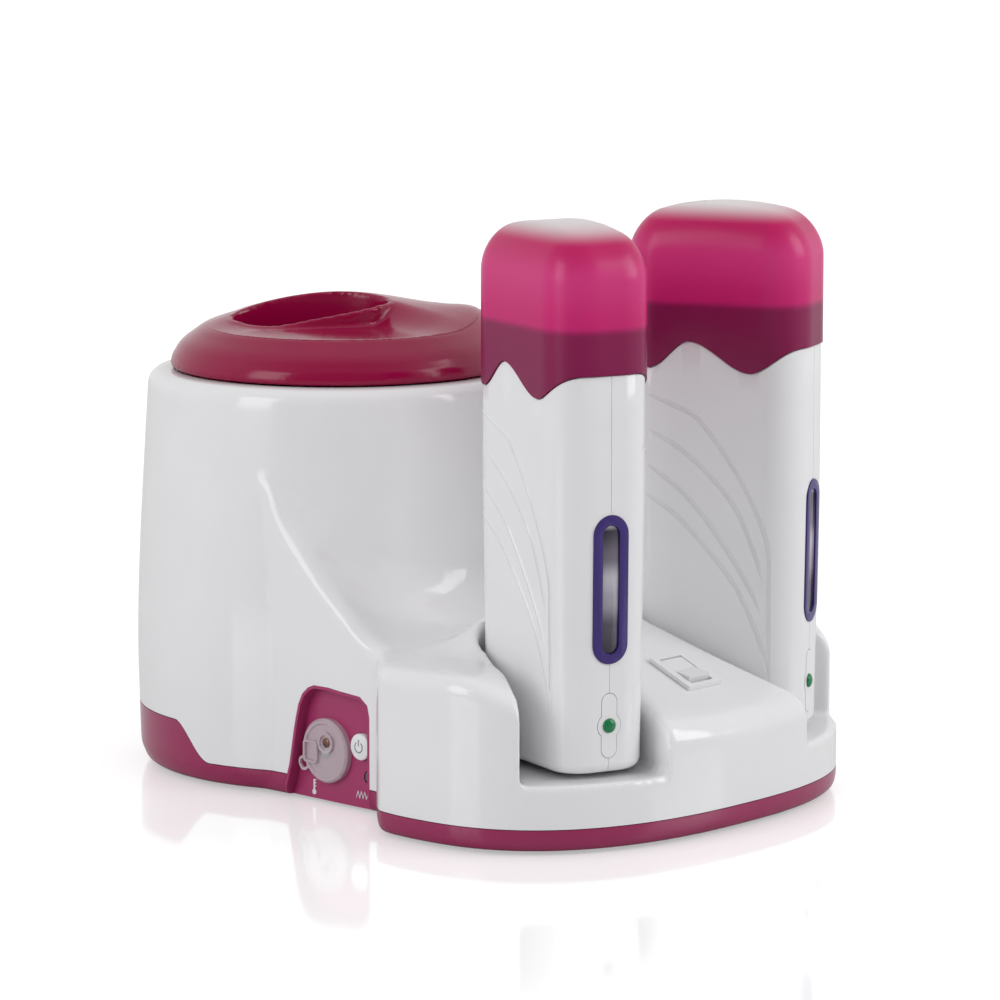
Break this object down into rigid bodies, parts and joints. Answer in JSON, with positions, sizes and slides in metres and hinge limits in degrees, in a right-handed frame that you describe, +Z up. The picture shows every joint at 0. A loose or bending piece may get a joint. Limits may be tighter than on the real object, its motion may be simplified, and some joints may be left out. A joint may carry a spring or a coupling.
{
  "type": "roll on wax heater",
  "caption": "Table-top wax warmer: round lidded pot heater with a front dock that stands capped roll on handsets upright, with a dial, push button and rocker.",
  "frame": {"origin": "on the table, at the middle of the footprint", "axes": "+Z up, -Y towards the dock front where the handset windows face, +X to the right seen from the dock"},
  "size_m": [0.21, 0.2927, 0.233],
  "materials": {
    "white_abs": "gloss moulded",
    "magenta_abs": "gloss moulded",
    "red_clear": "translucent gloss",
    "pink_clear": "translucent satin",
    "purple_abs": "gloss moulded",
    "clear_pc": "clear",
    "green_lens": "gloss",
    "icon_ink": "print",
    "steel": "bright",
    "alloy": "spun",
    "rubber": "matt",
    "silicone": "matt",
    "black_nylon": "matt",
    "ivory_nylon": "matt",
    "board": "satin",
    "ceramic": "matt"
  },
  "bodies": {
    "base": {"top_shell": "white_abs", "base_tub": "magenta_abs", "control_panel": "magenta_abs", "panel_icons": "icon_ink", "panel_board": "board", "rubber_feet": "rubber", "case_screws": "steel", "well_seal": "silicone", "heating_well": "alloy", "band_heater": "ceramic", "thermal_cutout": "black_nylon", "thermostat_body": "steel", "button_switch": "black_nylon", "indicator_lamp": "clear_pc", "power_inlet": "black_nylon", "terminal_block": "ivory_nylon", "wiring": "black_nylon", "control_board": "board", "board_parts": "black_nylon", "rocker_bezel": "white_abs", "rocker_housing": "black_nylon", "dock_socket_left": "black_nylon", "dock_socket_right": "black_nylon"},
    "dial": {"thermostat_dial": "clear_pc", "thermostat_shaft": "steel"},
    "button": {"power_button": "white_abs"},
    "rocker": {"rocker_key": "white_abs"},
    "wax_pot": {"wax_pot": "alloy"},
    "lid": {"lid": "red_clear"},
    "left_handset": {"left_shell_outer": "white_abs", "left_shell_inner": "white_abs", "left_window_frame": "purple_abs", "left_window_lens": "clear_pc", "left_led_plate": "white_abs", "left_led_lens": "green_lens", "left_heater_chamber": "alloy", "left_heater_plate": "ceramic", "left_plug": "black_nylon", "left_screws": "steel"},
    "left_cap": {"left_cap": "pink_clear"},
    "right_handset": {"right_shell_outer": "white_abs", "right_shell_inner": "white_abs", "right_window_frame": "purple_abs", "right_window_lens": "clear_pc", "right_led_plate": "white_abs", "right_led_lens": "green_lens", "right_heater_chamber": "alloy", "right_heater_plate": "ceramic", "right_plug": "black_nylon", "right_screws": "steel"},
    "right_cap": {"right_cap": "pink_clear"}
  },
  "joints": [
    {"name": "dial_turn", "type": "hinge", "parent": "base", "child": "dial", "pos_m": [-0.07224, 0.0034, 0.0212], "axis": [-0.9976, 0.0698, 0], "range_deg": [-236, 0]},
    {"name": "button_press", "type": "slide", "parent": "base", "child": "button", "axis": [0.9976, -0.0698, 0], "range_m": [0, 0.0012], "stiffness_N_per_m": 400, "springref_m": -0.001},
    {"name": "rocker_tilt", "type": "hinge", "parent": "base", "child": "rocker", "pos_m": [0, -0.11478, 0.05402], "axis": [1, 0, 0], "range_deg": [0, 14]},
    {"name": "pot_lift", "type": "slide", "parent": "base", "child": "wax_pot", "axis": [0, 0, 1], "range_m": [0, 0.12]},
    {"name": "lid_lift", "type": "slide", "parent": "wax_pot", "child": "lid", "axis": [0, 0, 1], "range_m": [0, 0.08]},
    {"name": "left_handset_lift", "type": "slide", "parent": "base", "child": "left_handset", "axis": [0, 0, 1], "range_m": [0, 0.08]},
    {"name": "left_cap_lift", "type": "slide", "parent": "left_handset", "child": "left_cap", "axis": [0, 0, 1], "range_m": [0, 0.06]},
    {"name": "right_handset_lift", "type": "slide", "parent": "base", "child": "right_handset", "axis": [0, 0, 1], "range_m": [0, 0.08]},
    {"name": "right_cap_lift", "type": "slide", "parent": "right_handset", "child": "right_cap", "axis": [0, 0, 1], "range_m": [0, 0.06]}
  ]
}
